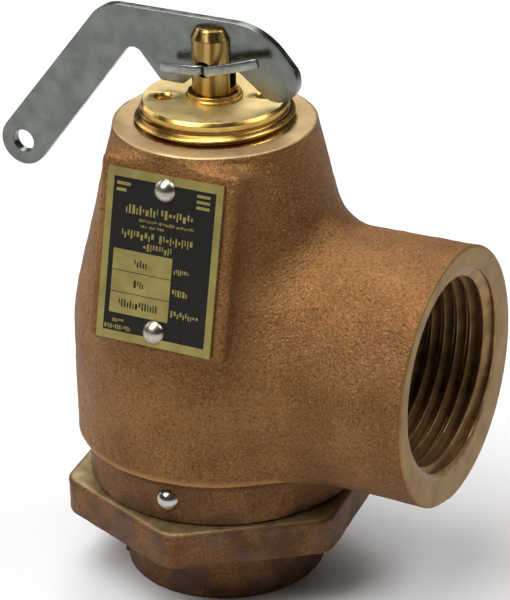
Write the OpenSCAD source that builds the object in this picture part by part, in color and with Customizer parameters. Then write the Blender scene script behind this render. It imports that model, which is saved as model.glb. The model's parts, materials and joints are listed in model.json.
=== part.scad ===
/* [Body] */
// Radius of the round body at its widest
body_r = 23.7; // [22.5:0.1:25]
// Height of the machined top of the body above the inlet face
body_top_z = 77.8; // [75:0.1:84]
// Outer radius of the machined top of the body
body_top_r = 16.1; // [15.8:0.1:17.5]
// Thickness of the cast wall
wall = 4; // [3:0.1:4.5]
// Outer radius of the skirt that screws onto the base
skirt_r = 22; // [21:0.1:22.5]
// Height of the step between the skirt and the round body
shoulder_z = 24.4; // [23.5:0.1:25]

/* [Outlet] */
// Distance from the valve's axis to the outlet face
outlet_x = 40.9; // [38:0.1:50]
// Height of the outlet's axis above the inlet face
outlet_z = 41.7; // [41:0.1:43]
// Outer radius of the outlet
outlet_r = 21.4; // [20:0.1:22]
// Radius of the outlet's thread at its crests, for 1 inch pipe
outlet_thread_r = 15; // [14.9:0.05:15.3]
// Length of the outlet's thread
outlet_thread_l = 19; // [14:0.5:20]
// Sideways shift of the cast outlet from the bored axis
outlet_shift_y = 1.3; // [0:0.1:1.5]
// Downward shift of the cast outlet from the bored axis
outlet_shift_z = 0.9; // [0:0.1:1.2]

/* [Inlet and base] */
// Radius of the inlet's thread at its crests, for 3/4 inch pipe
inlet_thread_r = 11.8; // [11.6:0.05:12]
// Length of the inlet's thread
inlet_thread_l = 16; // [12:0.5:16.5]
// Outer radius of the inlet boss
boss_r = 16.4; // [15.5:0.1:17]
// Height of the lower face of the hexagon
hex_bottom_z = 10.5; // [9:0.1:12]
// Height of the upper face of the hexagon
hex_top_z = 16.8; // [16:0.1:17.5]
// Distance from the centre to a sharp corner of the hexagon
hex_corner_r = 26.7; // [26:0.1:29]
// Rounding of the hexagon's corners
hex_round = 4.5; // [3:0.5:8]
// Turn of the hexagon about the valve's axis, in degrees
hex_turn = -83; // [-90:1:-60]
// Height of the seat above the inlet face
seat_z = 30; // [29.5:0.1:30.5]
// Radius of the passage through the seat
seat_bore_r = 9.6; // [8.5:0.1:10]

/* [Adjusting cap] */
// Outer radius of the cap's thread
cap_r = 12.6; // [12.2:0.05:12.8]
// Height of the cap's upper face
cap_top_z = 81.5; // [80.5:0.1:82]
// Height of the cap's lower face
cap_bottom_z = 68.5; // [66:0.5:70]
// Distance of the two spanner holes from the axis
spanner_r = 7.9; // [7.6:0.1:8.2]
// Radius of the spanner holes
spanner_hole_r = 1.6; // [1.3:0.1:2]

/* [Lifting gear] */
// Radius of the stem
stem_r = 3.45; // [3.2:0.05:3.6]
// Height of the stem's upper end
stem_top_z = 93.2; // [92:0.1:94]
// Height of the hole for the cotter pin
pin_z = 87; // [86.5:0.1:87.5]
// Thickness of the lever
lever_t = 1.6; // [1.4:0.1:1.7]
// Width of the slot in the stem
slot_w = 1.9; // [1.8:0.1:2.2]
// Length of the lever's arm from its notch to the end hole
arm_reach = 26.9; // [22:0.1:30]
// Half the width of the lever's arm
arm_r = 4.1; // [4:0.1:4.6]
// Slope of the lever's arm below the horizontal, in degrees
arm_slope = 52.5; // [50:0.5:55]
// Radius of the cotter pin's shank
cotter_r = 1; // [0.9:0.05:1]
// Length of the cotter pin's right leg
right_leg = 9.6; // [7:0.1:11]
// Rise of the right leg, in degrees
right_rise = 16; // [0:1:25]
// Length of the cotter pin's left leg
left_leg = 7.6; // [6:0.1:9]
// Rise of the left leg, in degrees
left_rise = -2; // [-10:1:10]

/* [Spring] */
// Mean radius of the spring's coils
spring_r = 8.2; // [7.8:0.1:8.4]
// Radius of the spring's wire
wire_r = 1.1; // [0.9:0.05:1.2]
// Number of turns
spring_turns = 5.5; // [4.5:0.5:6]

/* [Name plate] */
// Width of the name plate
plate_w = 20; // [18:0.1:21]
// Height of the name plate
plate_h = 27; // [24:0.1:28]
// Thickness of the name plate
plate_t = 0.5; // [0.4:0.1:0.8]
// Lean of the name plate, in degrees
plate_lean = 13.5; // [12:0.5:15]

/* [Hidden] */

$fn = 96;
eps = 0.01;

thread_gap = 0.05;    // radial gap between threaded parts
slide_gap = 0.06;     // radial gap of a part that slides or turns in another

base_thread_r = 17;   // thread between the base and the body
spigot_top_z = 26.5;  // top of the base's threaded spigot
flange_t = 2;         // flange of the disc guide
gasket_t = 0.5;       // gasket above that flange
lip_z = spigot_top_z + flange_t + gasket_t;
lip_t = 2;
lip_r = 15.8;

cyl_top_z = 43;       // top of the body's straight part
cavity_r = body_r - wall;
cap_thread_z = 65.5;  // lower end of the body's thread for the cap

cage_r = 15.4;        // outer radius of the disc guide's cage
cage_t = 1.5;
cage_top_z = 41.8;
cage_roof_t = 2.2;
hub_r = 8;
hub_top_z = 44.6;
neck_r = 5.5;         // neck of the disc holder, which slides in the hub

holder_r = 12.6;      // plate of the disc holder
holder_top_z = 35.2;
disc_r = 11.4;
disc_t = 2.4;
neck_top_z = 45.5;
step_flange_z = neck_top_z + 2;
step_r = 9.6;
upper_step_z = 66.5;

bush_r = 4.5;
bush_top_z = 82.6;
stem_foot_r = 2.5;    // thin lower end of the stem, inside the disc holder
stem_foot_z = 37.5;
stem_shoulder_z = 46.5;
slot_bottom_z = pin_z - 3.4;
roll_pin_z = 40.5;

plate_z = 61.8;        // middle of the name plate
plate_x = 0.7;
plate_y = -20.6;      // front face of the plate at its middle
pad_margin = 1.1;
rivet_r = 1.85;
rivet_shank_r = 0.9;
rivet_span = 22.4;

lock_pin_r = 1.9;
lock_shank_r = 0.95;
lock_shank_l = 6.4;
lock_pin_z = 20.8;
lock_pin_turn = -86.5;

rim_chamfer = 0.8;    // on the outlet's rim
mouth_r = 16.9;       // countersink before the outlet's thread
mouth_depth = 1.6;
chamber_top_z = 47;   // where the chamber starts to narrow towards the cap's thread

function polar(c, r, a) = [c[0] + r * cos(a), c[1] + r * sin(a)];
function arc(c, r, a0, a1, n = 12) = [for (i = [0:n]) polar(c, r, a0 + (a1 - a0) * i / n)];

// A solid of revolution about the valve's axis, from points of radius and height
module turned(points) {
    rotate_extrude($fn = 96) polygon(points);
}

module tube(r_out, r_in, z0, z1) {
    turned([[r_in, z0], [r_out, z0], [r_out, z1], [r_in, z1]]);
}

module rod(r, z0, z1) {
    translate([0, 0, z0]) cylinder(r = r, h = z1 - z0);
}

// A cylinder along X or Y
module rod_x(r, x0, x1) {
    translate([x0, 0, 0]) rotate([0, 90, 0]) cylinder(r = r, h = x1 - x0);
}

module rod_y(r, y0, y1) {
    translate([0, y0, 0]) rotate([-90, 0, 0]) cylinder(r = r, h = y1 - y0);
}

// ---- Body ----

// Outline of the casting, from the skirt up to the machined top
function body_outline() = concat(
    [[skirt_r, hex_top_z], [skirt_r, shoulder_z - 0.8]],
    arc([body_r - 1.6, shoulder_z + 0.8], 1.6, -60, 0, 4),
    [[body_r, cyl_top_z]],
    arc([body_r - 40, cyl_top_z], 40, 3, 11, 3),
    [[body_top_r + 0.7, body_top_z - 3], [body_top_r, body_top_z - 0.3], [body_top_r - 0.3, body_top_z]]);

module body_casting() {
    color("rosybrown")
    difference() {
        union() {
            turned(concat([[0, hex_top_z]], body_outline(), [[0, body_top_z]]));
            translate([0, outlet_shift_y, outlet_z - outlet_shift_z]) {
                rod_x(outlet_r, 0, outlet_x - rim_chamfer);
                translate([outlet_x - rim_chamfer, 0, 0]) rotate([0, 90, 0])
                    cylinder(r1 = outlet_r, r2 = outlet_r - rim_chamfer, h = rim_chamfer);
            }
            plate_pad();
        }
        body_cavity();
        translate([0, 0, outlet_z]) outlet_bore();
        plate_flat();
        on_plate() rivet_places() rod_y(rivet_shank_r, -1, 3);
        lock_pin_place() rod_y(lock_shank_r, -4, lock_shank_l);
    }
}

// The space inside: base thread, lip, discharge chamber, spring chamber, cap thread
module body_cavity() {
    turned([[0, hex_top_z - 1], [base_thread_r, hex_top_z - 1], [base_thread_r, lip_z],
            [lip_r, lip_z], [lip_r, lip_z + lip_t], [cavity_r, lip_z + lip_t + 2],
            [cavity_r, chamber_top_z], [cap_r + 1, cap_thread_z - 2], [cap_r + thread_gap, cap_thread_z],
            [cap_r + thread_gap, body_top_z - 1], [cap_r + 0.35, body_top_z + eps], [0, body_top_z + eps]]);
}

module outlet_bore() {
    rod_x(outlet_thread_r - 1, 10, outlet_x);
    rod_x(outlet_thread_r, outlet_x - outlet_thread_l, outlet_x + 1);
    translate([outlet_x - mouth_depth, 0, 0]) rotate([0, 90, 0])
        cylinder(r1 = outlet_thread_r, r2 = mouth_r, h = mouth_depth + eps);
}

// Raised flat that carries the name plate, and the space in front of it
module plate_pad() {
    pad_slab(plate_t, 6);
}

module plate_flat() {
    pad_slab(-3, 3 + plate_t);
}

module pad_slab(y, thick) {
    on_plate() translate([-plate_w / 2 - pad_margin, y, -plate_h / 2 - pad_margin / 2])
        cube([plate_w + 2 * pad_margin, thick, plate_h + pad_margin]);
}

// Places its children on the middle of the name plate's front face, facing out along -Y
module on_plate() {
    translate([plate_x, plate_y, plate_z]) rotate([-plate_lean, 0, 0]) children();
}

module rivet_places() {
    for (side = [-1, 1]) translate([0, 0, side * rivet_span / 2]) children();
}

module lock_pin_place() {
    rotate([0, 0, lock_pin_turn + 90]) translate([0, -skirt_r, lock_pin_z]) children();
}

// ---- Base ----

function hex_outline() = [for (i = [0:5])
    each arc(polar([0, 0], hex_corner_r - hex_round / cos(30), hex_turn + 60 * i),
             hex_round, hex_turn + 60 * i - 30, hex_turn + 60 * i + 30, 6)];

module base_casting() {
    color("peru")
    difference() {
        union() {
            rod(boss_r, 0, hex_bottom_z + eps);
            translate([0, 0, hex_bottom_z]) linear_extrude(hex_top_z - hex_bottom_z) polygon(hex_outline());
            turned([[0, hex_top_z - eps], [base_thread_r - thread_gap, hex_top_z - eps],
                    [base_thread_r - thread_gap, spigot_top_z], [seat_bore_r + 3, spigot_top_z],
                    [seat_bore_r + 3, seat_z - 1.6], [seat_bore_r + 1.6, seat_z],
                    [0, seat_z]]);
        }
        turned([[0, -1], [inlet_thread_r, -1], [inlet_thread_r, inlet_thread_l],
                [seat_bore_r, inlet_thread_l + 2], [seat_bore_r, seat_z + 1], [0, seat_z + 1]]);
        lock_pin_place() rod_y(lock_shank_r, -4, lock_shank_l + 0.1);
    }
}

// Drive pin through the skirt and into the base's thread
module base_lock_pin() {
    color("silver")
    lock_pin_place() {
        rod_y(lock_shank_r, -0.2, lock_shank_l);
        domed_head(lock_pin_r, 1);
    }
}

// Head of a drive pin, from y = 0 out along -Y
module domed_head(r, h) {
    ball = (r * r + h * h) / (2 * h);
    rotate([90, 0, 0]) rotate_extrude($fn = 64)
        polygon(concat([[0, 0]], arc([0, h - ball], ball, asin((ball - h) / ball), 90, 8)));
}

// ---- Name plate ----

module name_plate() {
    color("darkkhaki")
    on_plate() difference() {
        translate([-plate_w / 2, 0, -plate_h / 2]) cube([plate_w, plate_t, plate_h]);
        rivet_places() rod_y(rivet_shank_r, -1, 3);
    }
}

module plate_rivets() {
    color("silver")
    on_plate() rivet_places() {
        rod_y(rivet_shank_r, -0.2, 2.9);
        domed_head(rivet_r, 1.1);
    }
}

// ---- Adjusting cap and spring ----

module adjusting_cap() {
    color("gold")
    difference() {
        turned([[bush_r, cap_bottom_z], [cap_r - 0.8, cap_bottom_z], [cap_r, cap_bottom_z + 0.8],
                [cap_r, cap_top_z - 2.1], [cap_r - 0.9, cap_top_z - 1.2], [cap_r - 0.9, cap_top_z - 0.4],
                [cap_r - 1.3, cap_top_z], [bush_r, cap_top_z]]);
        for (turn = [-154, 26]) rotate([0, 0, turn]) translate([spanner_r, 0, cap_top_z - 3]) {
            cylinder(r = spanner_hole_r, h = 4);
        }
    }
}

module stem_bushing() {
    color("goldenrod")
    turned([[stem_r + slide_gap, cap_bottom_z - 5], [bush_r, cap_bottom_z - 5], [bush_r, bush_top_z - 0.3],
            [bush_r - 0.3, bush_top_z], [stem_r + 0.55, bush_top_z], [stem_r + slide_gap, bush_top_z - 0.7]]);
}

module upper_spring_step() {
    color("silver")
    turned([[bush_r + 0.1, cap_bottom_z - 4], [spring_r - wire_r - 0.1, cap_bottom_z - 4],
            [spring_r - wire_r - 0.1, upper_step_z], [step_r, upper_step_z], [step_r, cap_bottom_z],
            [bush_r + 0.1, cap_bottom_z]]);
}

// The wire's path: a helix whose end turns close up and lie flat
spring_bottom = step_flange_z + wire_r;
spring_top = upper_step_z - wire_r;
spring_steps = 20;
function ease(t) = t < 0.15 ? 0.25 * t : (t > 0.85 ? 1 - 0.25 * (1 - t) : 0.0375 + (t - 0.15) * 0.925 / 0.7);
function wire_ring(t) = let (a = 360 * spring_turns * t, z = spring_bottom + (spring_top - spring_bottom) * ease(t))
    [for (k = [0:9]) let (b = 36 * k, r = spring_r + wire_r * cos(b)) [r * cos(a), r * sin(a), z + wire_r * sin(b)]];

module spring() {
    n = spring_turns * spring_steps;
    rings = [for (i = [0:n]) each wire_ring(i / n)];
    sides = [for (i = [0:n - 1]) for (k = [0:9])
        [10 * i + k, 10 * i + (k + 1) % 10, 10 * (i + 1) + (k + 1) % 10, 10 * (i + 1) + k]];
    color("slategray")
    polyhedron(points = rings,
               faces = concat(sides, [[for (k = [9:-1:0]) k]], [[for (k = [0:9]) 10 * n + k]]));
}

module lower_spring_step() {
    color("silver")
    turned([[stem_r + 0.1, neck_top_z], [step_r - 2, neck_top_z], [step_r, neck_top_z + 0.8],
            [step_r, step_flange_z], [spring_r - wire_r - 0.1, step_flange_z],
            [spring_r - wire_r - 0.5, step_flange_z + 2.4], [stem_r + 0.1, step_flange_z + 2.4]]);
}

// ---- Stem and disc ----

module stem() {
    color("gold")
    difference() {
        turned([[0, stem_foot_z], [stem_foot_r, stem_foot_z], [stem_foot_r, stem_shoulder_z],
                [stem_r, stem_shoulder_z + 0.95], [stem_r, stem_top_z - 1.5],
                [stem_r - 0.7, stem_top_z], [0, stem_top_z]]);
        translate([-10, -slot_w / 2, slot_bottom_z]) cube([20, slot_w, 20]);
        translate([0, 0, pin_z]) rod_y(cotter_r + 0.3, -5, 5);
        translate([0, 0, roll_pin_z]) rod_y(0.8, -5, 5);
    }
}

module stem_roll_pin() {
    color("silver")
    translate([0, 0, roll_pin_z]) difference() {
        rod_y(0.78, -neck_r + 0.3, neck_r - 0.3);
        rod_y(0.35, -neck_r, neck_r);
    }
}

module disc_guide() {
    color("goldenrod")
    difference() {
        turned([[base_thread_r - 0.1, spigot_top_z], [base_thread_r - 0.1, spigot_top_z + flange_t],
                [cage_r, spigot_top_z + flange_t], [cage_r, cage_top_z], [hub_r, cage_top_z], [hub_r, hub_top_z],
                [neck_r + slide_gap, hub_top_z], [neck_r + slide_gap, cage_top_z - cage_roof_t],
                [cage_r - cage_t, cage_top_z - cage_roof_t], [cage_r - cage_t, spigot_top_z]]);
        for (turn = [0:60:300]) rotate([0, 0, turn]) translate([cage_r - 4, -5.2, spigot_top_z + 4])
            cube([8, 10.4, cage_top_z - cage_roof_t - spigot_top_z - 4.6]);
    }
}

module guide_gasket() {
    color("dimgray")
    tube(base_thread_r - 0.1, lip_r, spigot_top_z + flange_t, lip_z);
}

module disc_holder() {
    color("goldenrod")
    difference() {
        turned([[0, seat_z + disc_t], [disc_r, seat_z + disc_t], [disc_r, seat_z + 0.5],
                [holder_r - 0.4, seat_z + 0.5], [holder_r, seat_z + 0.9], [holder_r, holder_top_z - 1],
                [holder_r - 1, holder_top_z], [neck_r, holder_top_z], [neck_r, neck_top_z], [0, neck_top_z]]);
        rod(stem_foot_r + 0.02, stem_foot_z - 0.3, neck_top_z + 1);
        rod(1.4, seat_z, stem_foot_z - 1.5);
        translate([0, 0, roll_pin_z]) rod_y(0.8, -8, 8);
    }
}

module seat_disc() {
    color("black")
    tube(disc_r - 0.05, 1.9, seat_z + eps, seat_z + disc_t);
}

// Washer that holds the rubber disc in its holder
module seat_retainer() {
    color("silver")
    turned([[1.9, seat_z - 1], [7.4, seat_z - 1], [7.8, seat_z - 0.6], [7.8, seat_z], [1.9, seat_z]]);
}

module retainer_screw() {
    color("silver")
    difference() {
        turned([[0, seat_z - 3.2], [2.9, seat_z - 3.2], [3.3, seat_z - 2.8], [3.3, seat_z - 1],
                [1.35, seat_z - 1], [1.35, stem_foot_z - 2], [0, stem_foot_z - 2]]);
        translate([-4, -0.4, seat_z - 3.3]) cube([8, 0.8, 1]);
    }
}

// ---- Lifting lever ----

// Outline of the lever about its hinge hole, arm to the left, with +Y up
arm_dir = [cos(arm_slope), sin(arm_slope)];
arm_side = [sin(arm_slope), -cos(arm_slope)];
notch_c = [-13.9, -1.25];
notch_r = 1.9;
arm_end = notch_c - arm_side * (notch_r + arm_r) - arm_dir * arm_reach;
lever_top = 7.4;
corner_r = 6.3;
arm_edge = 3.6;   // from the arm's middle line to its upper edge at the corner
corner_y = lever_top - corner_r;
corner_along = (corner_y + (arm_edge - corner_r) * arm_side[1] - arm_end[1]) / arm_dir[1];
corner_c = arm_end + arm_dir * corner_along - arm_side * (arm_edge - corner_r);
cam_c = [11.15, -0.8];
cam_r = 3.75;
shoulder_c = [3.9, -3.6];
shoulder_arc_r = 11;
eye_r = 1.85;
function lever_outline() = concat(
    arc(arm_end, arm_r, 90 + arm_slope, 270 + arm_slope, 24),
    arc(notch_c, notch_r, 90 + arm_slope, 30, 12),
    arc([-8.6, -3.1], 1, 210, 270, 5),
    arc([-5.6, -2.6], 1.5, 270, 315, 5),
    [[-3.2, -2.4]],
    arc([0, 0], 2.9, 235, 318, 8),
    arc([4, -1.1], 0.9, 150, 50, 6),
    arc(cam_c, cam_r, 236, 392, 24),
    arc(shoulder_c, shoulder_arc_r, 39, 88, 12),
    arc(corner_c, corner_r, 90, 90 + arm_slope, 8));

module lever() {
    color("lightslategray")
    translate([0, lever_t / 2, pin_z]) rotate([90, 0, 0]) linear_extrude(lever_t) difference() {
        polygon(lever_outline());
        circle(r = cotter_r + 0.08);
        translate(arm_end) circle(r = eye_r);
    }
}

// Split pin: loop behind the stem, two legs spread in front of it
leg_w = 1.5;
leg_t = 0.7;
loop_r = 1.5;
module cotter_pin() {
    color("gainsboro")
    translate([0, 0, pin_z]) {
        rod_y(cotter_r, -stem_r - 0.35, stem_r + 0.5);
        translate([0, stem_r + 0.4 + loop_r, 0]) rotate_extrude($fn = 48)
            translate([loop_r - 0.3, 0]) circle(r = 0.55, $fn = 24);
        leg(right_leg, right_rise);
        mirror([1, 0, 0]) leg(left_leg, left_rise);
    }
}

// One leg, bent sideways from the shank's end, rising a little
module leg(length, rise) {
    rotate([0, -rise, 0]) translate([0, -stem_r - 0.75, -leg_w / 2]) cube([length, leg_t, leg_w]);
}

body_casting();
base_casting();
base_lock_pin();
name_plate();
plate_rivets();
adjusting_cap();
stem_bushing();
upper_spring_step();
spring();
lower_spring_step();
stem();
stem_roll_pin();
disc_guide();
guide_gasket();
disc_holder();
seat_disc();
seat_retainer();
retainer_screw();
lever();
cotter_pin();
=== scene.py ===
"""Looks of the pressure relief valve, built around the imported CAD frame.

Lengths are in millimetres in the frame's axes (+Z up the stem, +X out of the outlet), and
become metres only when a mesh or a light is made.
"""

import itertools
import json
import math

import bmesh
import bpy
import numpy as np
from mathutils import Matrix, Vector


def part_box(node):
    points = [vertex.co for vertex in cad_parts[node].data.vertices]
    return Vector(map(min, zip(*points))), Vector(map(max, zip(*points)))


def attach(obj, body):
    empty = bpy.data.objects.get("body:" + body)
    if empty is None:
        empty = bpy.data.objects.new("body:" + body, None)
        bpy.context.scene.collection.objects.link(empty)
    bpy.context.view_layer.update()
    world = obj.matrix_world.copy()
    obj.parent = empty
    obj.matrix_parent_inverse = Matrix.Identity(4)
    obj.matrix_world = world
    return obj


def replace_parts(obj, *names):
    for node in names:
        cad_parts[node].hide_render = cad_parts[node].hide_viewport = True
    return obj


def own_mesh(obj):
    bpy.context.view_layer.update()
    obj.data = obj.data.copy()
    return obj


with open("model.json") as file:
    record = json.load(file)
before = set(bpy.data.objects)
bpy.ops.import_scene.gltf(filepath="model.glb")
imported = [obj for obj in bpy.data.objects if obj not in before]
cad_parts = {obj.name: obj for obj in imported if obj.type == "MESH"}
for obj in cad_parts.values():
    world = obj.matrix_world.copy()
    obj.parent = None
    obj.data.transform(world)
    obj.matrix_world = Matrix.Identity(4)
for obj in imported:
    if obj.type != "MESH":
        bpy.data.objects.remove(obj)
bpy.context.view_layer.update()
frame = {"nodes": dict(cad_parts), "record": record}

MM = 0.001
record = frame["record"]
body_of_node = {n: b for b, nodes in record["behaviour"]["bodies"].items() for n in nodes}
mounts = {m["name"]: m for m in record["mounts"]}
joints = {j["name"]: j for j in record["behaviour"]["joints"]}


def span(node):
    """Lowest and highest corner of a CAD node, in millimetres."""
    low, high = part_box(node)
    return np.array(low) / MM, np.array(high) / MM


def heights(node):
    """Lowest and highest Z of a CAD node, in millimetres."""
    low, high = span(node)
    return low[2], high[2]


# ---- Driving sizes ----

SKIRT_Z, TOP_Z = heights("body_casting")
OUTLET_X = span("body_casting")[1][0]
BODY_R = -span("body_casting")[0][0]
TOP_R = 16.1
TOP_TAPER = 0.24
CONE_BLEND = 1.1  # how far, in radius, the cone runs softly into the cylinder
SKIRT_R = 22.0
SHOULDER_Z = 24.4
HOLLOW = [(SKIRT_Z - 5, 17), (29, 17), (29.5, 15.8), (31, 15.8), (33, 19.7), (47, 19.7), (63.5, 13.6),
          (65.5, 12.9), (TOP_Z - 0.8, 12.9), (TOP_Z - 0.4, 12.35), (TOP_Z + 4, 12.35)]  # height, radius

OUTLET_Z = mounts["outlet"]["pos_m"][2] / MM
OUTLET_THREAD_R = mounts["outlet"]["dims"]["r_mm"]
OUTLET_CAST = (1.3, 40.5)  # Y and Z of the cast outlet's own axis, off the bored one
OUTLET_CAST_R = 21.1
OUTLET_DRAFT = 0.012  # radius lost per millimetre away from the outlet's face
OUTLET_PITCH = 25.4 / 11.5
MOUTH_R = 16.9
MOUTH_DEPTH = 1.0
OUTLET_THREAD_L = 19.6
OUTLET_START = math.radians(-54)
PASSAGE_R, PASSAGE_START = 14.2, 8.0

INLET_THREAD_R = mounts["inlet"]["dims"]["r_mm"]
INLET_THREAD_L = mounts["inlet"]["dims"]["length_mm"]
INLET_PITCH = 25.4 / 14
BOSS_R = 16.4
HEX_BOTTOM_Z = 10.5
HEX_TOP_Z = SKIRT_Z
HEX_CORNER_R = 26.7
HEX_ROUND = 4.5
HEX_TURN = math.radians(-83)
SPIGOT_R, SPIGOT_TOP_Z = 16.9, 26.4
NOZZLE = [(26, 12.6), (28.4, 12.6), (30, 11.2), (31, 11.2)]  # height, outer radius
SEAT_BORE = [(15, 12), (16, 11.8), (18, 9.6), (19, 9.6)]  # height, radius
FIN_TURN = math.radians(-150)
FIN_HALF = (0.6, 0.4, 5.2)
FIN_Z = 5.6

CAP_BOTTOM_Z, CAP_TOP_Z = heights("adjusting_cap")
CAP_R = span("adjusting_cap")[1][0]
BUSH_R = span("stem_bushing")[1][0]
SPANNER_R = 7.9
SPANNER_HOLE_R = 1.6
SPANNER_TURNS = (math.radians(-154), math.radians(26))
CAP_THREAD_TURN = math.radians(42.4)
CAP_PITCH = 1.55

STEM_R = span("stem")[1][0]
STEM_THIN_R, STEM_THIN_TOP_Z = 2.5, 46.5
SLOT_BOTTOM_Z, SLOT_HALF = 83.6, 0.95
PIN_HOLE_R, ROLL_HOLE_R = 1.3, 0.8
PIN_Z = joints["lever_swing"]["pos_m"][2] / MM

SPRING_BOTTOM_Z, SPRING_TOP_Z = heights("spring")
SPRING_OUTER_R = span("spring")[1][0]
WIRE_R = 1.1
SPRING_TURNS = 5.5

PLATE_W, PLATE_H, PLATE_T = 20.0, 27.0, 0.5
PLATE_LEAN = math.radians(13.5)
PLATE_CENTRE = (0.7, -20.6, 61.8)
FIELD_W, FIELD_H = 17.7, 24.3
RIVET_SPAN = 22.4
RIVET_R, RIVET_H = 1.85, 1.1

LOCK_PIN_TURN = math.radians(-86.5)
LOCK_PIN_Z = 20.8
LOCK_PIN_R, LOCK_PIN_H = 1.85, 1.25

GRID = 0.5  # spacing of the points of the castings' skins


# ---- Material nodes ----


def linear(red, green, blue):
    """A colour given as display values from 0 to 255, as the linear colour that nodes take."""
    shares = [c / 255 for c in (red, green, blue)]
    return tuple(c / 12.92 if c <= 0.04045 else ((c + 0.055) / 1.055) ** 2.4 for c in shares) + (1.0,)


class Look:
    """One material's node tree, with a short call for each kind of node it uses."""

    def __init__(self, name, metallic, roughness):
        self.material = bpy.data.materials.new(name)
        self.material.use_nodes = True
        self.tree = self.material.node_tree
        self.shader = self.tree.nodes["Principled BSDF"]
        self.shader.inputs["Metallic"].default_value = metallic
        self.shader.inputs["Roughness"].default_value = roughness
        self.place = self.tree.nodes.new("ShaderNodeTexCoord").outputs["Object"]

    def feed(self, socket, value):
        """Links an output to a socket, or sets the socket to a plain value."""
        if isinstance(value, bpy.types.NodeSocket):
            self.tree.links.new(value, socket)
        else:
            socket.default_value = value

    def node(self, kind, result, inputs, **settings):
        """The `result` output of a new node, after its settings and inputs are made."""
        node = self.tree.nodes.new("ShaderNode" + kind)
        for name, value in settings.items():
            setattr(node, name, value)
        for name, value in inputs.items():
            self.feed(node.inputs[name], value)
        return node.outputs[result]

    def stretched(self, x, y, z):
        """The object's coordinates, scaled by x, y and z."""
        return self.node("VectorMath", "Vector", {0: self.place, 1: (x, y, z)}, operation="MULTIPLY")

    def distance(self, vector):
        """The length of a vector."""
        return self.node("VectorMath", "Value", {0: vector}, operation="LENGTH")

    def radius(self):
        """Distance from the stem's axis, in metres."""
        return self.distance(self.stretched(1, 1, 0))

    def axis(self, letter):
        """One of the object's coordinates, in metres."""
        return self.node("SeparateXYZ", letter, {0: self.place})

    def facing(self, letter):
        """How far the surface itself faces along an axis, from -1 to 1."""
        return self.node("SeparateXYZ", letter, {0: self.node("NewGeometry", "Normal", {})})

    def noise(self, size, detail=2.0, vector=None, roughness=0.5):
        """Noise whose blotches are about `size` millimetres across."""
        inputs = {"Vector": vector or self.place, "Scale": 1 / (size * MM), "Detail": detail}
        return self.node("TexNoise", "Fac", {**inputs, "Roughness": roughness})

    def rings(self, distance, size):
        """Turning marks: noise that changes only with the distance from an axis."""
        inputs = {"W": distance, "Scale": 1 / (size * MM), "Detail": 2.0}
        return self.node("TexNoise", "Fac", inputs, noise_dimensions="1D")

    def grains(self, size):
        """Distance to the middle of the nearest grain."""
        return self.node("TexVoronoi", "Distance", {"Vector": self.place, "Scale": 1 / (size * MM)})

    def steps(self, value, low, high, out_low=0.0, out_high=1.0):
        """value from low to high, mapped to out_low to out_high and held there outside."""
        inputs = {"Value": value, "From Min": low, "From Max": high, "To Min": out_low, "To Max": out_high}
        return self.node("MapRange", "Result", inputs)

    def over(self, value, low, high):
        """0 up to low millimetres, 1 from high on."""
        return self.steps(value, low * MM, high * MM)

    def under(self, value, low, high):
        """1 up to low millimetres, 0 from high on."""
        return self.steps(value, low * MM, high * MM, 1.0, 0.0)

    def blotches(self, size, out_low=0.0, out_high=1.0, detail=3.0):
        """Soft noise, `size` millimetres across, spread from out_low to out_high."""
        return self.steps(self.noise(size, detail), 0.3, 0.7, out_low, out_high)

    def math(self, operation, first, second=0.0):
        """The result of one Math node."""
        return self.node("Math", "Value", {0: first, 1: second}, operation=operation)

    def times(self, first, second):
        """The product of two values."""
        return self.math("MULTIPLY", first, second)

    def mix(self, share, first, second):
        """A colour between two others, which are outputs or display values from 0 to 255."""
        first, second = (linear(*c) if isinstance(c, tuple) else c for c in (first, second))
        return self.node("Mix", "Result", {"Factor": share, "A": first, "B": second}, data_type="RGBA")

    def bump(self, height, depth, below=None):
        """Relief of `depth` millimetres from a height between 0 and 1."""
        inputs = {"Distance": depth * MM, "Height": height}
        return self.node("Bump", "Normal", inputs if below is None else {**inputs, "Normal": below})

    def set(self, **values):
        """Feeds the shader's sockets by name and returns the finished material."""
        for name, value in values.items():
            self.feed(self.shader.inputs[name.replace("_", " ").title().replace("Ior", "IOR")], value)
        return self.material


def cast_colour(look):
    """Sand-cast bronze: brown with pale grains, darker and purplish stains low down."""
    broad = look.steps(look.noise(9.0, 3.0), 0.35, 0.65)
    brown = look.mix(broad, (117, 79, 43), (136, 96, 56))
    pale = look.steps(look.noise(0.3, 2.0, roughness=0.7), 0.5, 0.75)
    speckled = look.mix(look.times(pale, 0.6), brown, (186, 144, 98))
    dark = look.steps(look.noise(0.5, 2.0, roughness=0.7), 0.34, 0.5, 1.0, 0.0)
    grained = look.mix(look.times(dark, 0.5), speckled, (66, 42, 26))
    low = look.under(look.axis("Z"), 18, 27)
    stain = look.times(low, look.steps(look.noise(5.0, 3.0), 0.42, 0.62, 0.35, 1.0))
    return look.mix(look.times(stain, 0.75), grained, (74, 52, 42))


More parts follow.
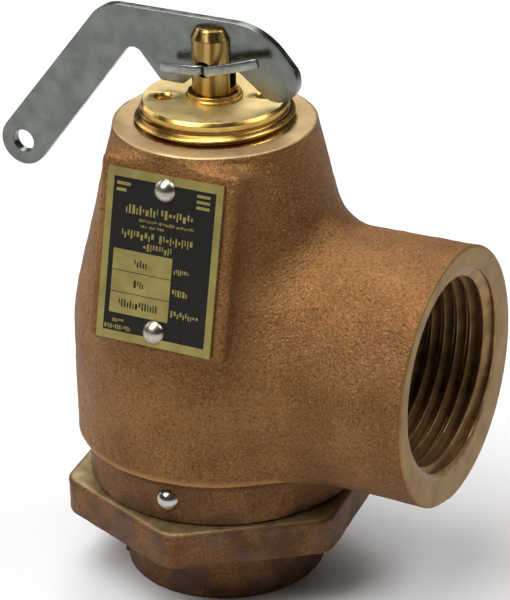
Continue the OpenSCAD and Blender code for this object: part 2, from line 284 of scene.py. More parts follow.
def cast_bronze():
    """The body: cast skin, painted highlight and shadow at the skirt's lip, and turned faces at the top and
    the outlet.
    """
    look = Look("cast bronze", 0.7, 0.6)
    height = look.axis("Z")
    top = look.over(height, TOP_Z - 0.35, TOP_Z - 0.2)
    end = look.over(look.axis("X"), OUTLET_X - 0.3, OUTLET_X - 0.15)
    turned = look.math("MAXIMUM", top, end)
    wash = look.blotches(4.0)
    top_face = look.mix(wash, (160, 132, 92), (184, 157, 115))
    # The outlet's end face gets a darker copy of the top face's turned colour: painted shade.
    end_face_painted_shade = look.mix(wash, (126, 96, 54), (148, 118, 70))
    round_body = look.under(look.radius(), BODY_R + 0.3, BODY_R + 0.6)
    # Painted highlight along the bulb's rounded lower lip, and a painted shadow line just under it on the
    # skirt.
    lip_painted_highlight = look.times(look.over(height, SHOULDER_Z + 0.1, SHOULDER_Z + 0.5),
                      look.under(height, SHOULDER_Z + 0.7, SHOULDER_Z + 1.5))
    lip_painted_shadow = look.times(look.over(height, SHOULDER_Z - 1.6, SHOULDER_Z - 0.2),
                       look.under(height, SHOULDER_Z, SHOULDER_Z + 0.3))
    skin = cast_colour(look)
    for band, share, colour in ((lip_painted_highlight, 0.45, (196, 146, 92)), (lip_painted_shadow, 0.7, (46, 30, 18))):
        skin = look.mix(look.times(look.times(band, round_body), share), skin, colour)
    sand = look.bump(look.noise(0.36, 3.0, roughness=0.65), 0.14)
    grain = look.bump(look.steps(look.grains(0.62), 0.0, 0.5), 0.09, below=sand)
    lines = look.bump(look.rings(look.distance(look.stretched(0, 1, 1)), 0.35), 0.01)
    roughness = look.steps(look.math("ADD", turned, look.noise(1.5)), 0.3, 1.4, 0.62, 0.48)
    return look.set(base_color=look.mix(turned, skin, look.mix(top, end_face_painted_shade, top_face)),
                    normal=look.mix(turned, grain, lines), roughness=roughness, specular_ior_level=0.2)


def base_bronze():
    """The base: dark cast skin with stains, and a machined upper face on the hexagon."""
    look = Look("base bronze", 0.7, 0.6)
    up = look.steps(look.facing("Z"), 0.8, 0.95)
    turned = look.times(up, look.over(look.axis("Z"), HEX_TOP_Z - 0.5, HEX_TOP_Z - 0.3))
    face = look.mix(look.blotches(3.0), (128, 106, 70), (168, 148, 108))
    patches = look.steps(look.noise(4.5, 4.0, roughness=0.6), 0.5, 0.66)
    skin = look.mix(look.times(patches, 0.55), cast_colour(look), (88, 76, 72))
    sand = look.bump(look.noise(0.5, 3.0, roughness=0.65), 0.14)
    return look.set(base_color=look.mix(turned, skin, face), normal=sand,
                    roughness=look.steps(turned, 0.0, 1.0, 0.58, 0.38), specular_ior_level=0.2)


def bare_thread():
    """Bronze where a tap has cut it."""
    look = Look("cut bronze", 0.7, 0.42)
    colour = look.mix(look.blotches(2.5), (120, 88, 52), (160, 126, 82))
    return look.set(base_color=colour, normal=look.bump(look.noise(0.3, 2.0), 0.02))


def turned_brass(name, colour_low, colour_high, roughness, line_depth):
    """Bright brass with turning lines round the stem's axis."""
    look = Look(name, 1.0, roughness)
    colour = look.mix(look.blotches(3.5, detail=2.0), colour_low, colour_high)
    ring = look.bump(look.rings(look.radius(), 0.16), line_depth)
    normal = look.bump(look.rings(look.axis("Z"), 0.14), line_depth, below=ring)
    varied = look.blotches(1.2, roughness - 0.05, roughness + 0.07)
    return look.set(base_color=colour, normal=normal, roughness=varied)


def cap_brass():
    """The cap's rim and thread: bright brass, with painted shade over the thread's roots and the rim's lower
    edge.
    """
    look = Look("cap brass", 1.0, 0.24)
    height = look.axis("Z")
    # Painted shade: darker brown over the thread's roots and the rim's lower edge.
    groove_painted_shade = look.times(look.under(height, CAP_TOP_Z - 1.6, CAP_TOP_Z - 1.2),
                        look.under(look.radius(), CAP_R - 0.65, CAP_R - 0.25))
    bright = look.mix(look.blotches(3.5, detail=2.0), (178, 142, 72), (208, 174, 98))
    colour = look.mix(look.times(groove_painted_shade, 0.8), bright, (104, 66, 22))
    lines = look.bump(look.rings(height, 0.14), 0.002)
    return look.set(base_color=colour, normal=lines, roughness=look.blotches(1.6, 0.2, 0.32))


def drawn_brass():
    """The stem: brass bar with darker streaks along it and fine turning lines round it."""
    look = Look("stem brass", 1.0, 0.3)
    streaks = look.steps(look.noise(1.1, 2.0, vector=look.stretched(1, 1, 0.04)), 0.38, 0.62)
    colour = look.mix(streaks, (104, 76, 34), (174, 146, 88))
    lines = look.bump(look.rings(look.axis("Z"), 0.14), 0.004)
    return look.set(base_color=colour, normal=lines, roughness=look.blotches(1.2, 0.24, 0.34))


def steel(name, dark, light, roughness, blotch, scratch):
    """Plated or bright steel with faint blotches and fine scratches."""
    look = Look(name, 1.0, roughness)
    scratches = look.noise(0.5, 2.0, vector=look.stretched(0.15, 1, 1))
    return look.set(base_color=look.mix(look.blotches(blotch), dark, light),
                    normal=look.bump(scratches, scratch),
                    roughness=look.blotches(2.0, roughness - 0.06, roughness + 0.08))


def soft_black(name, colour, size):
    """Dull black rubber or fibre with a grain of `size` millimetres."""
    look = Look(name, 0.0, 0.75)
    shade = look.mix(look.noise(2.0, 3.0), colour, (20, 20, 20))
    return look.set(base_color=shade, normal=look.bump(look.noise(size, 2.0), 0.04))


def plate_gold():
    """The plate's bare metal, brushed along its width."""
    look = Look("etched plate", 0.75, 0.38)
    brushed = look.bump(look.noise(0.3, 2.0, vector=look.stretched(0.08, 1, 1)), 0.012)
    return look.set(base_color=look.mix(look.blotches(3.0), (154, 140, 80), (178, 164, 100)),
                    normal=brushed)


def plate_black():
    """The plate's black field."""
    look = Look("plate enamel", 0.0, 0.45)
    colour = look.mix(look.noise(2.5, 3.0), (10, 9, 7), (26, 23, 18))
    return look.set(base_color=colour, normal=look.bump(look.noise(0.7, 2.0), 0.01), specular_ior_level=0.28)


CAST = cast_bronze()
BASE = base_bronze()
THREAD = bare_thread()
CAP_BRASS = cap_brass()
BUSH_BRASS = turned_brass("bushing brass", (186, 150, 80), (216, 184, 108), 0.26, 0.002)
CAP_FACE = turned_brass("cap face", (190, 168, 114), (214, 192, 138), 0.5, 0.005)
STEM_BRASS = drawn_brass()
INNER_BRASS = turned_brass("guide brass", (158, 118, 60), (188, 148, 84), 0.34, 0.008)
ZINC = steel("zinc plate", (98, 101, 98), (118, 121, 116), 0.25, 3.0, 0.003)
INNER_ZINC = steel("spring step steel", (130, 130, 128), (160, 160, 156), 0.36, 3.0, 0.006)
BRIGHT = steel("bright steel", (170, 168, 162), (196, 194, 188), 0.24, 1.5, 0.004)
PIN_STEEL = steel("split pin steel", (122, 124, 120), (152, 154, 150), 0.3, 1.5, 0.004)
RIVET = steel("rivet metal", (160, 152, 142), (188, 180, 168), 0.3, 1.2, 0.004)
WIRE = steel("spring wire", (120, 120, 122), (150, 150, 150), 0.3, 1.5, 0.004)
RUBBER = soft_black("disc rubber", (38, 38, 38), 0.4)
FIBRE = soft_black("gasket fibre", (64, 60, 56), 0.3)
GOLD = plate_gold()
ENAMEL = plate_black()


# ---- Meshes ----


def mesh_of(name, points, faces):
    """A mesh from points in millimetres."""
    mesh = bpy.data.meshes.new(name)
    places = (np.asarray(points, float) * MM).tolist()
    mesh.from_pydata(places, [], [tuple(map(int, f)) for f in faces])
    return mesh


def shown(name, data):
    """A new object in the scene."""
    thing = bpy.data.objects.new(name, data)
    bpy.context.scene.collection.objects.link(thing)
    return thing


def spun(points, angle):
    """Points turned about Z."""
    c, s = math.cos(angle), math.sin(angle)
    return points @ np.array([[c, s, 0], [-s, c, 0], [0, 0, 1]])


def new_piece(name, points, faces, materials, node, face_materials=None):
    """A mesh object that rides where `node` rides. Points are in millimetres."""
    mesh = mesh_of(name, points, faces)
    for material in materials:
        mesh.materials.append(material)
    if face_materials is not None:
        mesh.polygons.foreach_set("material_index", np.asarray(face_materials, np.int32))
    piece = shown(name, mesh)
    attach(piece, body_of_node[node])
    return piece


def tidy(piece, sharp=30.0, bevel=0.0, dissolve=False):
    """Merges doubled points, optionally dissolves flats and bevels edges, and shades by angle."""
    mesh = piece.data
    work = bmesh.new()
    work.from_mesh(mesh)
    bmesh.ops.remove_doubles(work, verts=work.verts, dist=0.002 * MM)
    bmesh.ops.dissolve_degenerate(work, edges=work.edges, dist=0.002 * MM)
    if dissolve:
        bmesh.ops.dissolve_limit(work, angle_limit=math.radians(1.0), verts=work.verts, edges=work.edges)
    if bevel:
        edges = [e for e in work.edges if e.is_manifold and e.calc_face_angle(0) > math.radians(28)]
        bmesh.ops.bevel(work, geom=edges, offset=bevel * MM, segments=2, profile=0.5, affect="EDGES",
                        clamp_overlap=True)
    bmesh.ops.recalc_face_normals(work, faces=work.faces)
    for edge in work.edges:
        edge.smooth = not (edge.is_manifold and edge.calc_face_angle(0) > math.radians(sharp))
    for face in work.faces:
        face.smooth = True
    work.to_mesh(mesh)
    work.free()
    return piece


def fillet(points, steps=5):
    """Corner points (x, y, radius) as a closed outline whose corners are arcs of those radii."""
    outline = []
    for i, (x, y, radius) in enumerate(points):
        here = np.array([x, y], float)
        if radius <= 0:
            outline.append(here)
            continue
        before = np.array(points[i - 1][:2], float) - here
        after = np.array(points[(i + 1) % len(points)][:2], float) - here
        room = min(np.linalg.norm(before), np.linalg.norm(after)) / 2
        before /= np.linalg.norm(before)
        after /= np.linalg.norm(after)
        half = math.acos(max(-1.0, min(1.0, float(before @ after)))) / 2
        reach = min(radius / math.tan(half), room)
        radius = reach * math.tan(half)
        middle = here + (before + after) / np.linalg.norm(before + after) * radius / math.sin(half)
        start, end = here + before * reach - middle, here + after * reach - middle
        turn = math.atan2(start[0] * end[1] - start[1] * end[0], float(start @ end))
        for k in range(steps + 1):
            a = turn * k / steps
            outline.append(middle + [start[0] * math.cos(a) - start[1] * math.sin(a),
                                     start[0] * math.sin(a) + start[1] * math.cos(a)])
    return outline


def lathe(outline, segments):
    """Points and faces of a closed outline of (radius, height) turned about Z."""
    outline = np.asarray(outline, float)
    angles = np.arange(segments) * 2 * np.pi / segments
    points = np.array([[r * math.cos(a), r * math.sin(a), z] for a in angles for r, z in outline])
    n = len(outline)
    faces = []
    for j in range(segments):
        here, after = j * n, (j + 1) % segments * n
        faces += [(here + i, after + i, after + (i + 1) % n, here + (i + 1) % n) for i in range(n)]
    return points, faces


def turned_piece(name, outline, segments, sharp, materials, node):
    """A brass piece from a closed outline of (radius, height) turned about the stem's axis."""
    points, faces = lathe(outline, segments)
    return tidy(new_piece(name, points, faces, materials, node), sharp=sharp)


def carved(piece, cutters):
    """The piece with each cutter's shape taken out of it. A cutter is (points, faces)."""
    tools = []
    for points, faces in cutters:
        tools.append(tidy(shown("cutter", mesh_of("cutter", points, faces)), sharp=40))
        cut = piece.modifiers.new("cut", "BOOLEAN")
        cut.operation, cut.solver, cut.object = "DIFFERENCE", "EXACT", tools[-1]
    shaped = bpy.data.meshes.new_from_object(piece.evaluated_get(bpy.context.evaluated_depsgraph_get()))
    piece.modifiers.clear()
    piece.data = shaped
    for tool in tools:
        bpy.data.objects.remove(tool)
    return piece


def across(radius, z, reach):
    """A round rod along Y at height z, as a cutter."""
    points, faces = lathe([(0, -reach), (radius, -reach), (radius, reach), (0, reach)], 32)
    return np.column_stack([points[:, 0], points[:, 2], z - points[:, 1]]), faces


def flats_first(piece):
    """Lets the large faces set the normals, so that flats look flat and soft edges look round."""
    mesh = piece.data
    normals = np.zeros((len(mesh.vertices), 3))
    for face in mesh.polygons:
        normals[list(face.vertices)] += np.array(face.normal) * face.area
    length = np.linalg.norm(normals, axis=1, keepdims=True)
    mesh.polygons.foreach_set("use_smooth", np.ones(len(mesh.polygons), bool))
    for edge in mesh.edges:
        edge.use_edge_sharp = False
    mesh.normals_split_custom_set_from_vertices(normals / np.maximum(length, 1e-12))


def softened(node, name, width, material, slot):
    """A copy of a CAD node with its flats joined and its edges slightly rounded."""
    source = frame["nodes"][node]
    piece = shown(name, source.data.copy())
    piece.matrix_world = source.matrix_world.copy()
    piece.data.materials.clear()
    piece.data.materials.append(material)
    tidy(piece, bevel=width, dissolve=True)
    flats_first(piece)
    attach(piece, body_of_node[node])
    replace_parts(piece, node)
    return piece


# ---- Shapes given by a distance field ----


def rounded_out(a, b, radius):
    """Both a and b, with their common edge rounded."""
    corner = np.hypot(np.maximum(a + radius, 0), np.maximum(b + radius, 0))
    return np.minimum(np.maximum(a, b), -radius) + corner


def rounded_in(a, b, radius):
    """Either a or b, with a fillet between them."""
    corner = np.hypot(np.maximum(radius - a, 0), np.maximum(radius - b, 0))
    return np.maximum(np.minimum(a, b), radius) - corner


def along(value, profile):
    """The value read off a profile of (place, value) pairs."""
    places, values = zip(*profile)
    return np.interp(value, places, values)


def ripple(x, y, z, wavelength, seed, waves=20):
    """Smooth random height between about -1 and 1."""
    draw = np.random.default_rng(seed)
    height = np.zeros_like(x)
    for _ in range(waves):
        way = draw.normal(size=3)
        way *= 2 * np.pi / (wavelength * draw.uniform(0.7, 1.5) * np.linalg.norm(way))
        height += np.sin(way[0] * x + way[1] * y + way[2] * z + draw.uniform(0, 2 * np.pi))
    return height / math.sqrt(2 * waves)


def gradient(field, p):
    """Unit direction in which the field grows, at each point."""
    step = 0.02
    g = np.column_stack([field(*(p + step * e).T) - field(*(p - step * e).T) for e in np.eye(3)])
    return g / np.maximum(np.linalg.norm(g, axis=1, keepdims=True), 1e-9)


def pulled_on(field, p, reach, rounds=4):
    """Points moved along the gradient onto the field's zero surface."""
    for _ in range(rounds):
        p = p - np.clip(field(*p.T), -reach, reach)[:, None] * gradient(field, p)
    return p


def surface(field, low, high, step):
    """Points and quads of the surface where the field is zero, one point in each crossed cell."""
    axes = [np.arange(a - 2 * step, b + 3 * step, step) for a, b in zip(low, high)]
    inside = np.concatenate([field(*np.meshgrid(part, axes[1], axes[2], indexing="ij")) < 0
                             for part in np.array_split(axes[0], 12)])
    cells = tuple(n - 1 for n in inside.shape)
    count = np.zeros(cells, np.int8)
    for i, j, k in itertools.product((0, 1), repeat=3):
        count += inside[i:i + cells[0], j:j + cells[1], k:k + cells[2]]
    crossed = (count > 0) & (count < 8)
    index = np.full(cells, -1)
    index[crossed] = np.arange(crossed.sum())
    origin = np.array([a[0] for a in axes])
    points = origin + (np.argwhere(crossed) + 0.5) * step
    quads = []
    for d in range(3):
        a, b = (d + 1) % 3, (d + 2) % 3
        edges = np.argwhere(np.diff(inside, axis=d))  # grid steps along d that cross the surface
        for axis in (a, b):
            edges = edges[(edges[:, axis] > 0) & (edges[:, axis] < cells[axis])]
        out = inside[tuple(edges.T)]
        ring = []
        for da, db in ((1, 1), (0, 1), (0, 0), (1, 0)):
            cell = edges.copy()
            cell[:, a] -= da
            cell[:, b] -= db
            ring.append(index[tuple(cell.T)])
        ring = np.stack(ring, axis=1)
        quads.append(np.where(out[:, None], ring, ring[:, ::-1]))
    quads = np.concatenate(quads)
    points = pulled_on(field, points, step)
    for _ in range(3):
        points = pulled_on(field, evened(points, quads), step * 0.5, rounds=2)
    return points, quads


def evened(points, quads):
    """Each point moved halfway to the middle of its neighbours."""
    total = np.zeros_like(points)
    number = np.zeros(len(points))
    for a, b in ((0, 1), (1, 2), (2, 3), (3, 0)):
        for one, other in ((quads[:, a], quads[:, b]), (quads[:, b], quads[:, a])):
            number += np.bincount(one, minlength=len(points))
            for axis in range(3):
                total[:, axis] += np.bincount(one, weights=points[other, axis], minlength=len(points))
    return (points + total / np.maximum(number, 1)[:, None]) / 2


def field_piece(name, field, relief, material, node):
    """A casting's skin. relief gives the outward height to add to the field's surface."""
    low, high = span(node)
    points, quads = surface(field, low - 2 * GRID, high + 2 * GRID, GRID)
    points = points + gradient(field, points) * relief(*points.T)[:, None]
    piece = new_piece(name, points, quads, [material], node)
    piece.data.polygons.foreach_set("use_smooth", np.ones(len(quads), bool))
    normals = gradient(lambda x, y, z: field(x, y, z) - relief(x, y, z), points)
    piece.data.normals_split_custom_set_from_vertices(normals)
    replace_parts(piece, node)


# ---- Body and base castings ----


def on_plate(x, y, z):
    """Coordinates about the middle of the name plate's front: right, inwards and up along it."""
    dx, dy, dz = x - PLATE_CENTRE[0], y - PLATE_CENTRE[1], z - PLATE_CENTRE[2]
    c, s = math.cos(PLATE_LEAN), math.sin(PLATE_LEAN)
    return dx, dy * c - dz * s, dy * s + dz * c


def box_field(x, y, z, half, radius):
    """A box about the origin with rounded edges."""
    q = [np.abs(v) - (h - radius) for v, h in zip((x, y, z), half)]
    outside = np.sqrt(sum(np.maximum(v, 0) ** 2 for v in q))
    return outside + np.minimum(np.maximum(np.maximum(q[0], q[1]), q[2]), 0) - radius


def bulb(x, y, z):
    """The round body: a cylinder that turns into a cone, over a recessed skirt."""
    rho = np.hypot(x, y)
    cone = TOP_R + TOP_TAPER * (TOP_Z - z)
    share = np.clip(0.5 + (cone - BODY_R) / (2 * CONE_BLEND), 0, 1)
    radius = cone + (BODY_R - cone) * share - CONE_BLEND * share * (1 - share)
    upper = rounded_out((rho - radius) * 0.97, SHOULDER_Z - z, 0.7)
    skirt = np.maximum(rho - SKIRT_R, SKIRT_Z + 0.05 - z)
    return rounded_in(upper, rounded_out(skirt, z - SHOULDER_Z - 2, 0.3), 0.25)


def cast_outlet(x, y, z):
    """The outlet's tapered cylinder, and the slanting flat dressed on the lower edge of its rim."""
    inwards = OUTLET_X - x
    side = np.hypot(y - OUTLET_CAST[0], z - OUTLET_CAST[1]) - OUTLET_CAST_R + OUTLET_DRAFT * inwards
    dressed = z - 20.3 + 0.234 * (y + 3.5) + 0.12 * inwards
    return np.maximum(side, -x), np.maximum(dressed, inwards - 8)


def plate_pad(x, y, z):
    """Raised flat behind the name plate."""
    u, v, w = on_plate(x, y, z)
    return box_field(u, v - PLATE_T - 5, w - 0.5, (PLATE_W / 2 + 2.0, 5, PLATE_H / 2 + 1.4), 1.3)


def body_hollow(x, y, z):
    """Base thread, discharge chamber, spring chamber and cap thread, as one turned space."""
    return (np.hypot(x, y) - along(z, HOLLOW)) * 0.85


def body_field(x, y, z):
    """The body: bulb, outlet and plate pad run together, then faced and hollowed out."""
    outlet, dressed = cast_outlet(x, y, z)
    solid = rounded_in(bulb(x, y, z), outlet, 4.0)
    solid = rounded_in(solid, plate_pad(x, y, z), 1.6)
    u, v, w = on_plate(x, y, z)
    front = box_field(u, v - PLATE_T + 3, w, (PLATE_W / 2 + 3, 3, PLATE_H / 2 + 2.2), 0.1)
    for cut, edge_r in ((-front, 0.3), (z - TOP_Z, 0.3), (x - OUTLET_X, 0.55), (-dressed, 0.2)):
        solid = rounded_out(solid, cut, edge_r)
    solid = np.maximum(solid, SKIRT_Z + 0.05 - z)
    bore = np.hypot(y, z - OUTLET_Z)
    thread_room = np.maximum(bore - MOUTH_R, OUTLET_X - OUTLET_THREAD_L - 0.4 - x)
    passage = np.maximum(bore - PASSAGE_R, PASSAGE_START - x)
    hollow = np.minimum(np.minimum(body_hollow(x, y, z), passage), thread_room)
    return rounded_out(solid, -hollow, 0.12)


def away_from(value, place, width):
    """0 on a machined plane, rising to 1 at `width` from it."""
    return np.clip(np.abs(value - place) / width, 0, 1)


def body_relief(x, y, z):
    """The casting's unevenness, which the machined faces don't have."""
    u, v, w = on_plate(x, y, z)
    on_pad = (np.abs(u) < 11) & (np.abs(w) < 14.5) & (np.abs(v - PLATE_T) < 1)
    in_bore = (np.hypot(y, z - OUTLET_Z) < 18) & (x > 15)
    mask = np.where(on_pad | in_bore, 0, away_from(z, TOP_Z, 1.2) * away_from(x, OUTLET_X, 0.9))
    return mask * (0.07 * ripple(x, y, z, 7.0, 3) + 0.035 * ripple(x, y, z, 2.6, 4) - 0.1)


def hex_side(x, y):
    """Distance outside a hexagon with rounded corners."""
    inner = HEX_CORNER_R * math.cos(math.pi / 6) - HEX_ROUND
    turned = np.arctan2(y, x) - HEX_TURN
    turned = (turned + np.pi / 6) % (np.pi / 3) - np.pi / 6  # from the nearest corner
    rho = np.hypot(x, y)
    corner = inner / math.cos(math.pi / 6)
    px, py = rho * np.cos(turned), rho * np.abs(np.sin(turned))
    flat_x, flat_y = -0.5, math.sqrt(3) / 2  # direction of the flat from the corner
    t = np.clip((px - corner) * flat_x + py * flat_y, 0, corner)
    dx, dy = px - corner - t * flat_x, py - t * flat_y
    outwards = dx * flat_y - dy * flat_x
    return np.hypot(dx, dy) * np.where(outwards > 0, 1, -1) - HEX_ROUND


def base_field(x, y, z):
    """The base: boss, hexagon, spigot, nozzle and a small fin, with the inlet and the seat bored out."""
    rho = np.hypot(x, y)
    boss = rounded_out(rho - BOSS_R, -z, 0.5)
    boss = np.maximum(boss, z - HEX_TOP_Z + 1)
    nut = rounded_out(hex_side(x, y), z - HEX_TOP_Z, 1.1)
    nut = rounded_out(nut, HEX_BOTTOM_Z - z, 0.5)
    solid = rounded_in(boss, nut, 0.5)
    spigot = np.maximum(rho - SPIGOT_R, z - SPIGOT_TOP_Z)
    nozzle = np.maximum(rho - along(z, NOZZLE), z - 30)
    solid = np.minimum(solid, np.maximum(np.minimum(spigot, nozzle), HEX_BOTTOM_Z - z))
    c, s = math.cos(FIN_TURN), math.sin(FIN_TURN)
    fin = box_field(x * c + y * s - BOSS_R, -x * s + y * c, z - FIN_Z, FIN_HALF, 0.15)
    solid = rounded_in(solid, fin, 0.2)
    room = np.maximum(rho - INLET_THREAD_R - 1.6, z - INLET_THREAD_L)
    seat_bore = np.maximum((rho - along(z, SEAT_BORE)) * 0.8, 12 - z)
    return rounded_out(solid, -np.minimum(room, seat_bore), 0.1)


def base_relief(x, y, z):
    """The base's unevenness, which its two faces and its bores don't have."""
    mask = away_from(z, 0, 1.0) * np.clip((HEX_TOP_Z - 0.5 - z) / 0.8, 0, 1)
    mask = np.where(np.hypot(x, y) < 14, 0, mask)
    return mask * (0.08 * ripple(x, y, z, 6.0, 5) + 0.04 * ripple(x, y, z, 2.4, 6) - 0.16)


def castings():
    """The skins of the two castings."""
    field_piece("body_skin", body_field, body_relief, CAST, "body_casting")
    field_piece("base_skin", base_field, base_relief, BASE, "base_casting")


# ---- Threads ----


def thread_sleeve(start, end, pitch, wall, back, segments=180, samples=14):
    """A ring between a threaded wall and a plain cylinder of radius `back`, about Z.

    wall(z, phase) gives the radius, where phase runs from 0 to 1 over each pitch.
    """
    rows = samples * (math.ceil((end - start) / pitch) + 2) + 1
    column = rows + 2
    points = []
    for j in range(segments):
        turn = j / segments
        z = np.clip(start - pitch + pitch * turn + pitch * np.arange(rows) / samples, start, end)
        z = np.concatenate([[start], z, [end]])
        r = wall(z, (z - start) / pitch - turn - np.floor((z - start) / pitch - turn + 1e-9))
        r[0] = r[-1] = back
        angle = 2 * np.pi * turn
        points.append(np.column_stack([r * math.cos(angle), r * math.sin(angle), z]))

    def beside(j, k):
        """The point next to point k of column j, one pitch further on where the turn closes."""
        if j + 1 < segments:
            return (j + 1) * column + k
        return k if k in (0, column - 1) else min(k + samples, column - 2)

    faces = [(j * column + i, beside(j, i), beside(j, (i + 1) % column), j * column + (i + 1) % column)
             for j in range(segments) for i in range(column)]
    return np.concatenate(points), faces


def vee(phase, flat=0.12):
    """Height of a vee thread from 0 at its root to 1 at its crest."""
    return np.clip((np.abs(phase - 0.5) * 2 - flat) / (1 - 2 * flat), 0, 1)


def pipe_thread(name, node, length, crest, pitch, mouth_r, mouth_depth, place, start_turn):
    """Female taper pipe thread with a countersunk mouth, its mouth at z = 0 and opening along +Z."""
    depth = 0.76 * pitch

    def wall(z, phase):
        """The threaded wall's radius, with a countersink at the mouth and a run-out inside."""
        taper = (z + length * 0.6) / 32
        fade = np.clip((z + length) / pitch, 0, 1)
        cut = crest + taper + depth * (1 - vee(phase)) * fade
        sink = mouth_r - (mouth_r - crest) * np.clip(-z / mouth_depth, 0, 1.5)
        return np.minimum(np.maximum(cut, sink), mouth_r)

    points, faces = thread_sleeve(-length, 0.0, pitch, wall, crest + depth + 0.5)
    axes, mouth = place
    points = spun(points, start_turn) @ np.array(axes) + mouth
    tidy(new_piece(name, points, faces, [THREAD], node), sharp=28)


def threads():
    """The outlet's 1 inch thread and the inlet's 3/4 inch thread."""
    along_x = [[0, 1, 0], [0, 0, 1], [1, 0, 0]]
    pipe_thread("outlet_thread", "body_casting", OUTLET_THREAD_L, OUTLET_THREAD_R, OUTLET_PITCH, MOUTH_R,
                MOUTH_DEPTH, (along_x, np.array([OUTLET_X - 0.04, 0, OUTLET_Z])), OUTLET_START)
    down = [[1, 0, 0], [0, -1, 0], [0, 0, -1]]
    pipe_thread("inlet_thread", "base_casting", INLET_THREAD_L, INLET_THREAD_R, INLET_PITCH,
                INLET_THREAD_R + 1.5, 1.2, (down, np.array([0, 0, 0.04])), 0.0)


# ---- Name plate, rivets and lock pin ----


def plate_to_frame(points):
    """Plate coordinates (right, inwards, up) in the valve's frame."""
    c, s = math.cos(PLATE_LEAN), math.sin(PLATE_LEAN)
    p = np.asarray(points, float)
    return np.column_stack([p[:, 0], p[:, 1] * c + p[:, 2] * s, -p[:, 1] * s + p[:, 2] * c]) + PLATE_CENTRE


def tile(x0, x1, z0, z1, front, back):
    """A thin block on the plate."""
    points = [(x, y, z) for x in (x0, x1) for y in (front, back) for z in (z0, z1)]
    faces = [(0, 1, 3, 2), (4, 6, 7, 5), (0, 4, 5, 1), (2, 3, 7, 6), (0, 2, 6, 4), (1, 5, 7, 3)]
    return points, faces


def greeked(x0, x1, z0, z1, words, seed):
    """A line of stand-in text: words of upright dashes, which spell nothing."""
    draw = np.random.default_rng(seed)
    height = z1 - z0
    room = (x1 - x0) / words
    for w in range(words):
        x = x0 + w * room
        end = x0 + (w + 1) * room - height * 0.45
        while x < end - height * 0.1:
            width = min(height * draw.choice([0.16, 0.22, 0.34]), end - x)
            low = z0 + height * draw.choice([0.0, 0.0, 0.35])
            high = z1 - height * draw.choice([0.0, 0.0, 0.3])
            yield x, x + width, low, high
            x += width + height * 0.2


def name_plate():
    """Olive-gold plate with a black field, three gold boxes and stand-in text."""
    gold_back, field_front, raised = 0.08, 0.03, 0.0
    half_w, half_h = PLATE_W / 2, PLATE_H / 2
    # Lines of stand-in text: left, right, bottom, top, words and the seed of their dashes.
    text_gold = [(-6.4, 5.9, 6.7, 8.1, 2, 11), (-4.0, 5.8, 5.65, 6.15, 3, 12), (-3.7, 0.6, 4.8, 5.25, 3, 13),
                 (-6.8, 6.3, 2.8, 4.1, 2, 14), (-2.9, 2.5, 1.25, 2.4, 1, 15), (2.7, 5.7, -1.5, -0.65, 1, 16),
                 (2.7, 5.9, -4.85, -3.85, 1, 17), (2.7, 8.0, -8.25, -7.2, 1, 18),
                 (-7.3, -5.1, -10.7, -10.15, 1, 19), (-8.6, -3.7, -11.85, -11.15, 1, 20)]
    text_black = [(-4.2, -1.4, -1.55, -0.35, 1, 21), (-4.05, -1.9, -4.8, -3.65, 1, 22),
                  (-6.4, 0.8, -8.15, -6.95, 1, 23)]
    bars = [(-8.3, -5.9, 10.9, 11.4), (-8.3, -6.6, 9.9, 10.4)]
    bars += [(5.6, 7.9, 9.3 + row * 0.9, 9.75 + row * 0.9) for row in range(3)]
    boxes = [(-8.0, 2.3, top - 3.3, top) for top in (0.9 - row * 3.42 for row in range(3))]
    blocks = [(tile(-half_w, half_w, -half_h, half_h, gold_back, PLATE_T), 0)]
    for side in (-1, 1):
        edge = sorted((side * half_w, side * FIELD_W / 2))
        blocks.append((tile(*edge, -half_h, half_h, raised, gold_back), 0))
        edge = sorted((side * half_h, side * FIELD_H / 2))
        blocks.append((tile(-FIELD_W / 2, FIELD_W / 2, *edge, raised, gold_back), 0))
    blocks.append((tile(-FIELD_W / 2, FIELD_W / 2, -FIELD_H / 2, FIELD_H / 2, field_front, gold_back), 1))
    blocks += [(tile(*box, raised, field_front), 0) for box in boxes]
    for line in text_gold:
        blocks += [(tile(*spot, raised, field_front), 0) for spot in greeked(*line)]
    for line in text_black:
        blocks += [(tile(*spot, raised - 0.01, raised), 1) for spot in greeked(*line)]
    blocks += [(tile(*bar, raised, field_front), 0) for bar in bars]
    points, faces, kinds = [], [], []
    for (corners, sides), kind in blocks:
        faces += [[len(points) + i for i in side] for side in sides]
        kinds += [kind] * len(sides)
        points += corners
    piece = new_piece("plate_face", plate_to_frame(points), faces, [GOLD, ENAMEL], "name_plate",
                      kinds)
    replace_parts(piece, "name_plate")


def dome(radius, height, shank_r, shank_l):
    """Outline of a domed rivet head on its shank; the head's seat is at z = 0 and it points up."""
    ball = (radius ** 2 + height ** 2) / (2 * height)
    rise = math.asin((ball - height) / ball)
    turns = np.linspace(math.pi / 2, rise, 14)[1:]
    arc = [(ball * math.cos(a), height - ball + ball * math.sin(a)) for a in turns]
    shank = [(radius - 0.12, -0.1), (shank_r, -0.1), (shank_r, -shank_l)]
    return [(0.0, -shank_l), (0.0, height)] + arc + shank


def rivets():
    """Two drive rivets through the plate's ends."""
    points, faces = lathe(dome(RIVET_R, RIVET_H, 0.88, 2.9), 64)
    outwards = np.column_stack([points[:, 0], -points[:, 2], points[:, 1]])
    both = [plate_to_frame(outwards + [-0.05, 0, side * RIVET_SPAN / 2]) for side in (-1, 1)]
    shifted = faces + [tuple(i + len(points) for i in f) for f in faces]
    piece = new_piece("plate_rivet_heads", np.concatenate(both), shifted, [RIVET], "plate_rivets")
    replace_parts(tidy(piece, sharp=50), "plate_rivets")


